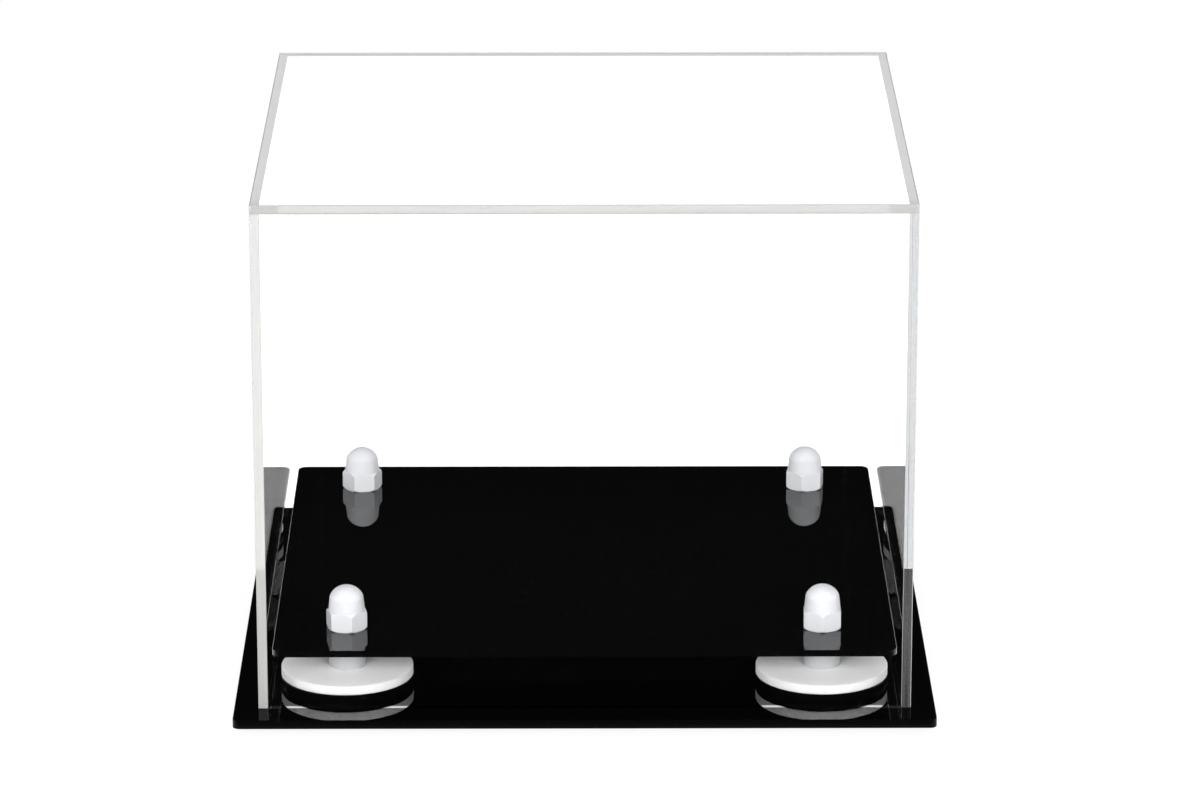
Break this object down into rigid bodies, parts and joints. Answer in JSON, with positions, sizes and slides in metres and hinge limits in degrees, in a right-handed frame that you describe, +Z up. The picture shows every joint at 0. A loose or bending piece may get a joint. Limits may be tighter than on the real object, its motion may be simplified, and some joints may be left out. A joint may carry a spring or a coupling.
{
  "type": "cap display case",
  "caption": "Box-shaped display case for a cap: a clear lift-off cover stands on a black base plate around a raised black platform on white risers with domed cap nuts.",
  "frame": {"origin": "on the surface the case stands on, under the middle of the base plate", "axes": "+X to the right seen from the front, along the longest side; the front faces -Y; +Z up"},
  "size_m": [0.301, 0.2866, 0.232],
  "materials": {
    "clear_acrylic": "clear, polished",
    "black_acrylic": "high gloss",
    "white_acrylic": "gloss",
    "white_nylon": "semi-gloss",
    "foot_rubber": "matte"
  },
  "bodies": {
    "root": {"base_plate": "black_acrylic", "platform": "black_acrylic", "front_left_black_disc": "black_acrylic", "front_left_white_disc": "white_acrylic", "front_left_spacer": "white_nylon", "front_left_screw": "white_nylon", "front_left_cap_nut": "white_nylon", "front_left_rubber_foot": "foot_rubber", "front_right_black_disc": "black_acrylic", "front_right_white_disc": "white_acrylic", "front_right_spacer": "white_nylon", "front_right_screw": "white_nylon", "front_right_cap_nut": "white_nylon", "front_right_rubber_foot": "foot_rubber", "back_left_black_disc": "black_acrylic", "back_left_white_disc": "white_acrylic", "back_left_spacer": "white_nylon", "back_left_screw": "white_nylon", "back_left_cap_nut": "white_nylon", "back_left_rubber_foot": "foot_rubber", "back_right_black_disc": "black_acrylic", "back_right_white_disc": "white_acrylic", "back_right_spacer": "white_nylon", "back_right_screw": "white_nylon", "back_right_cap_nut": "white_nylon", "back_right_rubber_foot": "foot_rubber"},
    "cover": {"cover_front_panel": "clear_acrylic", "cover_back_panel": "clear_acrylic", "cover_left_panel": "clear_acrylic", "cover_right_panel": "clear_acrylic", "cover_top_panel": "clear_acrylic"}
  },
  "joints": [
    {"name": "cover_lift", "type": "slide", "parent": "root", "child": "cover", "axis": [0, 0, 1], "range_m": [0, 0.25]}
  ]
}
